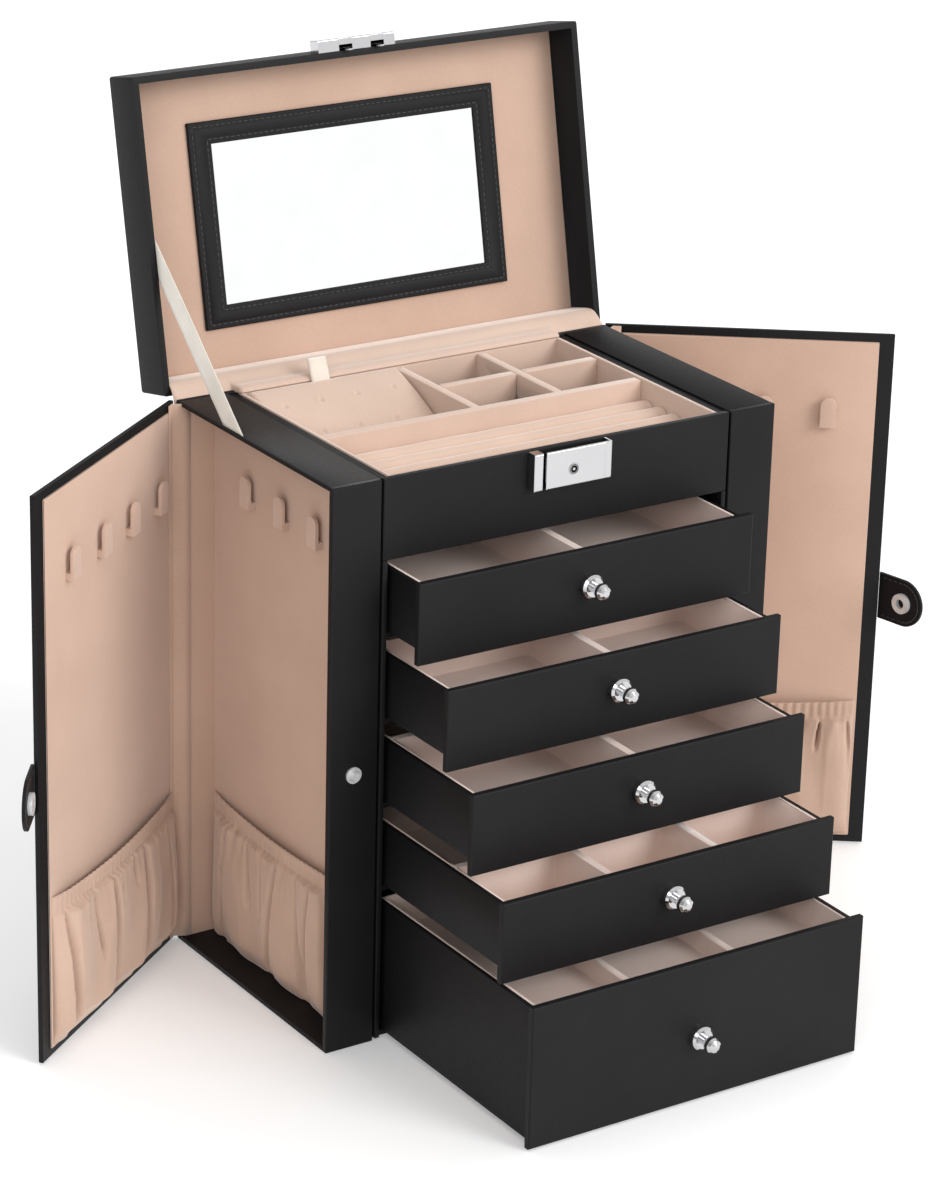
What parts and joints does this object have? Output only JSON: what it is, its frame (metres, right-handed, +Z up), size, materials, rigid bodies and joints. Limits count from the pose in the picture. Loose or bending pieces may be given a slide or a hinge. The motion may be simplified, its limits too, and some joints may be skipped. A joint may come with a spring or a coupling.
{
  "type": "makeup case",
  "caption": "Upright leather-covered makeup and jewellery case with mirror lid, lined top tray, stepped drawers and two side doors with necklace hooks and gathered pockets",
  "frame": {"origin": "centre of the underside of the base, on the floor", "axes": "+X to the case's right seen from the front, +Y to the back, +Z up"},
  "size_m": [0.5455, 0.3642, 0.463],
  "materials": {
    "black_leatherette": "grained satin",
    "beige_velvet": "short velvet pile",
    "gathered_satin": "soft sheen",
    "hook_velvet": "velvet over card",
    "polished_chrome": "polished",
    "mirror_glass": "mirror",
    "cream_ribbon": "woven ribbon"
  },
  "bodies": {
    "case": {"base_board": "black_leatherette", "back_panel": "black_leatherette", "carcass_sides": "black_leatherette", "pillars": "black_leatherette", "roofs": "black_leatherette", "niche_lining_l": "beige_velvet", "niche_lining_r": "beige_velvet", "niche_hooks": "hook_velvet", "niche_pockets": "gathered_satin", "shelves": "black_leatherette", "front_panel": "black_leatherette", "tray_lining": "beige_velvet", "tray_partitions": "beige_velvet", "ring_rolls": "beige_velvet", "lock_body": "polished_chrome", "snap_studs": "polished_chrome", "lid_hinge": "black_leatherette", "door_hinges": "black_leatherette", "stay_strap": "cream_ribbon"},
    "lid": {"lid_shell": "black_leatherette", "lid_lining": "beige_velvet", "mirror_frame": "black_leatherette", "mirror_glass": "mirror_glass", "hasp": "polished_chrome"},
    "earring_flap": {"earring_board": "beige_velvet", "pull_ribbon": "cream_ribbon"},
    "lock_slider": {"lock_button": "polished_chrome"},
    "key_cylinder": {"key_barrel": "polished_chrome"},
    "door_left": {"door_panel_l": "black_leatherette", "door_lining_l": "beige_velvet", "door_hooks_l": "hook_velvet", "door_pocket_l": "gathered_satin"},
    "tab_left": {"snap_tab_l": "black_leatherette", "snap_socket_l": "polished_chrome"},
    "door_right": {"door_panel_r": "black_leatherette", "door_lining_r": "beige_velvet", "door_hooks_r": "hook_velvet", "door_pocket_r": "gathered_satin"},
    "tab_right": {"snap_tab_r": "black_leatherette", "snap_socket_r": "polished_chrome"},
    "drawer_1": {"drawer_1_front": "black_leatherette", "drawer_1_box": "black_leatherette", "drawer_1_insert": "beige_velvet", "drawer_1_knob": "polished_chrome"},
    "drawer_2": {"drawer_2_front": "black_leatherette", "drawer_2_box": "black_leatherette", "drawer_2_insert": "beige_velvet", "drawer_2_knob": "polished_chrome"},
    "drawer_3": {"drawer_3_front": "black_leatherette", "drawer_3_box": "black_leatherette", "drawer_3_insert": "beige_velvet", "drawer_3_knob": "polished_chrome"},
    "drawer_4": {"drawer_4_front": "black_leatherette", "drawer_4_box": "black_leatherette", "drawer_4_insert": "beige_velvet", "drawer_4_knob": "polished_chrome"},
    "drawer_5": {"drawer_5_front": "black_leatherette", "drawer_5_box": "black_leatherette", "drawer_5_insert": "beige_velvet", "drawer_5_knob": "polished_chrome"}
  },
  "joints": [
    {"name": "lid_hinge", "type": "hinge", "parent": "case", "child": "lid", "pos_m": [0, 0.0815, 0.299], "axis": [-1, 0, 0], "range_deg": [-101.6, 0], "deforming": ["stay_strap"]},
    {"name": "door_hinge_left", "type": "hinge", "parent": "case", "child": "door_left", "pos_m": [-0.1312, 0.077, 0.15], "axis": [0, 0, -1], "range_deg": [-53.9, 60]},
    {"name": "tab_fold_left", "type": "hinge", "parent": "door_left", "child": "tab_left", "pos_m": [-0.26021, -0.01374, 0.1495], "axis": [0, 0, -1], "range_deg": [-72, 18]},
    {"name": "door_hinge_right", "type": "hinge", "parent": "case", "child": "door_right", "pos_m": [0.1312, 0.077, 0.15], "axis": [0, 0, 1], "range_deg": [-54.2, 60]},
    {"name": "tab_fold_right", "type": "hinge", "parent": "door_right", "child": "tab_right", "pos_m": [0.26068, -0.01306, 0.1495], "axis": [0, 0, 1], "range_deg": [-47, 43]},
    {"name": "earring_flap_hinge", "type": "hinge", "parent": "case", "child": "earring_flap", "pos_m": [-0.0505, -0.0022, 0.2659], "axis": [1, 0, 0], "range_deg": [0, 45]},
    {"name": "lock_press", "type": "slide", "parent": "case", "child": "lock_slider", "axis": [1, 0, 0], "range_m": [0, 0.0015], "stiffness_N_per_m": 150, "springref_m": -0.001},
    {"name": "key_turn", "type": "hinge", "parent": "case", "child": "key_cylinder", "pos_m": [0.0034, -0.0822, 0.289], "axis": [0, 1, 0], "range_deg": [0, 90]},
    {"name": "drawer_1_slide", "type": "slide", "parent": "case", "child": "drawer_1", "axis": [0, -1, 0], "range_m": [-0.028, 0.11]},
    {"name": "drawer_2_slide", "type": "slide", "parent": "case", "child": "drawer_2", "axis": [0, -1, 0], "range_m": [-0.055, 0.083]},
    {"name": "drawer_3_slide", "type": "slide", "parent": "case", "child": "drawer_3", "axis": [0, -1, 0], "range_m": [-0.0785, 0.0595]},
    {"name": "drawer_4_slide", "type": "slide", "parent": "case", "child": "drawer_4", "axis": [0, -1, 0], "range_m": [-0.1065, 0.0315]},
    {"name": "drawer_5_slide", "type": "slide", "parent": "case", "child": "drawer_5", "axis": [0, -1, 0], "range_m": [-0.134, 0.004]}
  ]
}
